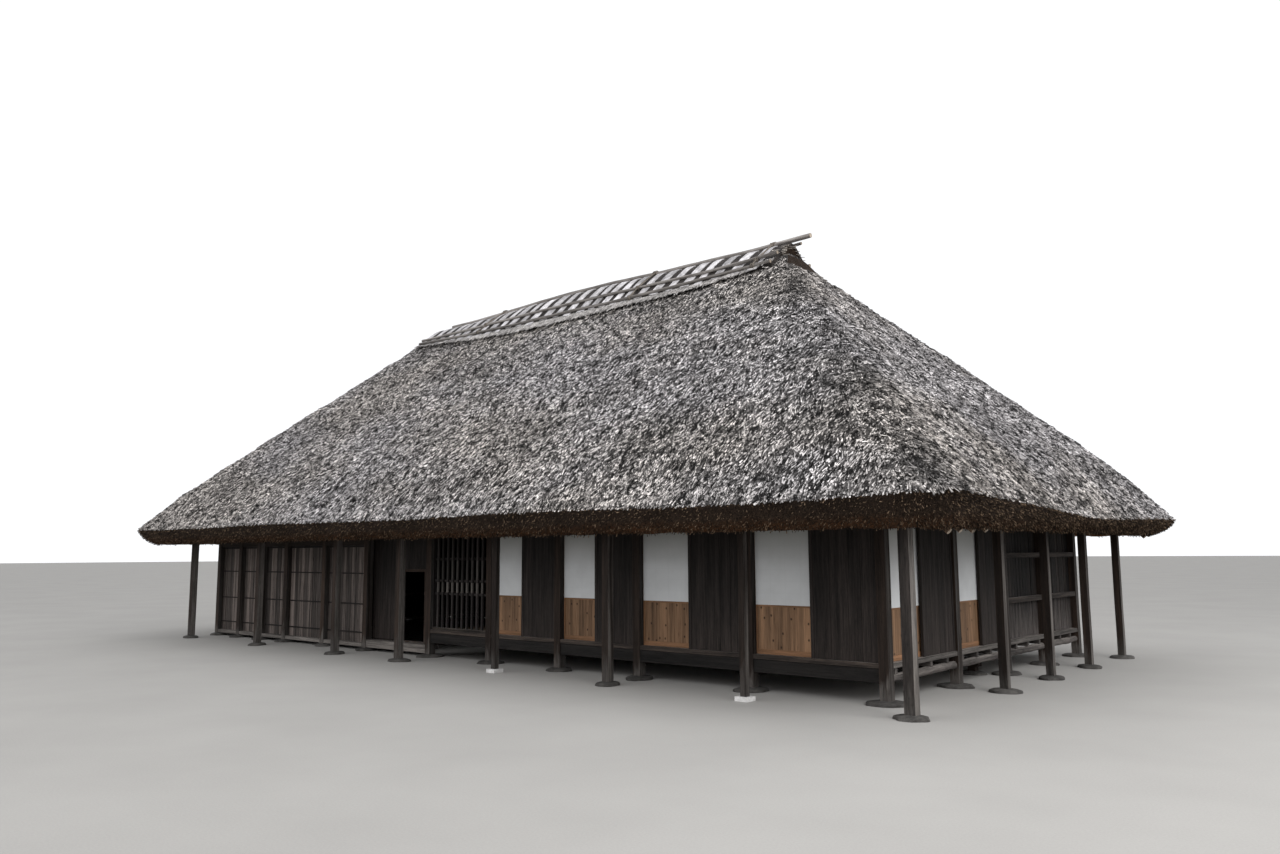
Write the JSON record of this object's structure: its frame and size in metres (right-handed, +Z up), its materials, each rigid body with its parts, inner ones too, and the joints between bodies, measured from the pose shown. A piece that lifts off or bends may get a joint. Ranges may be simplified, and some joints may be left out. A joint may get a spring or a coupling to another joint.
{
  "type": "thatched farmhouse",
  "caption": "Long thatched farmhouse with a hipped roof, a bark ridge under bamboo poles, eave posts, sliding paper screens, board doors, a lattice window and a great door.",
  "frame": {"origin": "on the ground under the middle of the roof", "axes": "+X along the long front to the right end of the house, +Y from the front to the back, +Z up"},
  "size_m": [18.1, 9.16, 6.7254],
  "materials": {
    "thatch": "weathered reed thatch",
    "bark": "grey bark strips",
    "bamboo": "grey bamboo",
    "post_wood": "dark weathered timber",
    "board_wood": "very dark boards",
    "grey_wood": "greyed boards",
    "pole_wood": "brown roof poles",
    "screen": "white paper on honey brown wood"
  },
  "bodies": {
    "house": {"thatch_front": "thatch", "thatch_back": "thatch", "thatch_left": "thatch", "thatch_right": "thatch", "ridge_cap": "bark", "ridge_poles": "bamboo", "ridge_beam": "pole_wood", "rafters_front": "pole_wood", "rafters_back": "pole_wood", "rafters_left": "pole_wood", "rafters_right": "pole_wood", "end_beam_left": "pole_wood", "end_beam_right": "pole_wood", "cross_frame_1": "pole_wood", "cross_frame_2": "pole_wood", "cross_frame_3": "pole_wood", "cross_frame_4": "pole_wood", "eave_frame_front": "post_wood", "eave_frame_right": "post_wood", "front_wall_frame": "post_wood", "right_wall_frame": "post_wood", "left_wall_frame": "post_wood", "back_wall_frame": "post_wood", "lattice_window": "post_wood", "floor_beams": "post_wood", "front_board_wall": "grey_wood", "back_board_wall": "grey_wood", "left_board_wall": "grey_wood", "floor": "grey_wood", "right_board_wall": "board_wood", "entrance_boards": "board_wood"},
    "great_door": {"great_door": "board_wood"},
    "screen_front_1": {"screen_front_1": "screen"},
    "screen_front_2": {"screen_front_2": "screen"},
    "screen_front_3": {"screen_front_3": "screen"},
    "screen_front_4": {"screen_front_4": "screen"},
    "screen_side_1": {"screen_side_1": "screen"},
    "screen_side_2": {"screen_side_2": "screen"},
    "board_door_front_1": {"board_door_front_1": "board_wood"},
    "board_door_front_2": {"board_door_front_2": "board_wood"},
    "board_door_front_3": {"board_door_front_3": "board_wood"},
    "board_door_front_4": {"board_door_front_4": "board_wood"},
    "board_door_side_1": {"board_door_side_1": "board_wood"},
    "board_door_side_2": {"board_door_side_2": "board_wood"}
  },
  "joints": [
    {"name": "screen_front_1_slide", "type": "slide", "parent": "house", "child": "screen_front_1", "axis": [1, 0, 0], "range_m": [0, 0.7965]},
    {"name": "board_door_front_1_slide", "type": "slide", "parent": "house", "child": "board_door_front_1", "axis": [-1, 0, 0], "range_m": [0, 0.7965]},
    {"name": "screen_front_2_slide", "type": "slide", "parent": "house", "child": "screen_front_2", "axis": [1, 0, 0], "range_m": [0, 0.809]},
    {"name": "board_door_front_2_slide", "type": "slide", "parent": "house", "child": "board_door_front_2", "axis": [-1, 0, 0], "range_m": [0, 0.809]},
    {"name": "screen_front_3_slide", "type": "slide", "parent": "house", "child": "screen_front_3", "axis": [1, 0, 0], "range_m": [0, 0.6575]},
    {"name": "board_door_front_3_slide", "type": "slide", "parent": "house", "child": "board_door_front_3", "axis": [-1, 0, 0], "range_m": [0, 0.6575]},
    {"name": "screen_front_4_slide", "type": "slide", "parent": "house", "child": "screen_front_4", "axis": [1, 0, 0], "range_m": [0, 0.6575]},
    {"name": "board_door_front_4_slide", "type": "slide", "parent": "house", "child": "board_door_front_4", "axis": [-1, 0, 0], "range_m": [0, 0.6575]},
    {"name": "screen_side_1_slide", "type": "slide", "parent": "house", "child": "screen_side_1", "axis": [0, 1, 0], "range_m": [0, 0.818]},
    {"name": "board_door_side_1_slide", "type": "slide", "parent": "house", "child": "board_door_side_1", "axis": [0, -1, 0], "range_m": [0, 0.818]},
    {"name": "screen_side_2_slide", "type": "slide", "parent": "house", "child": "screen_side_2", "axis": [0, 1, 0], "range_m": [0, 0.7155]},
    {"name": "board_door_side_2_slide", "type": "slide", "parent": "house", "child": "board_door_side_2", "axis": [0, -1, 0], "range_m": [0, 0.7155]},
    {"name": "great_door_slide", "type": "slide", "parent": "house", "child": "great_door", "axis": [-1, 0, 0], "range_m": [0, 1.72]}
  ]
}
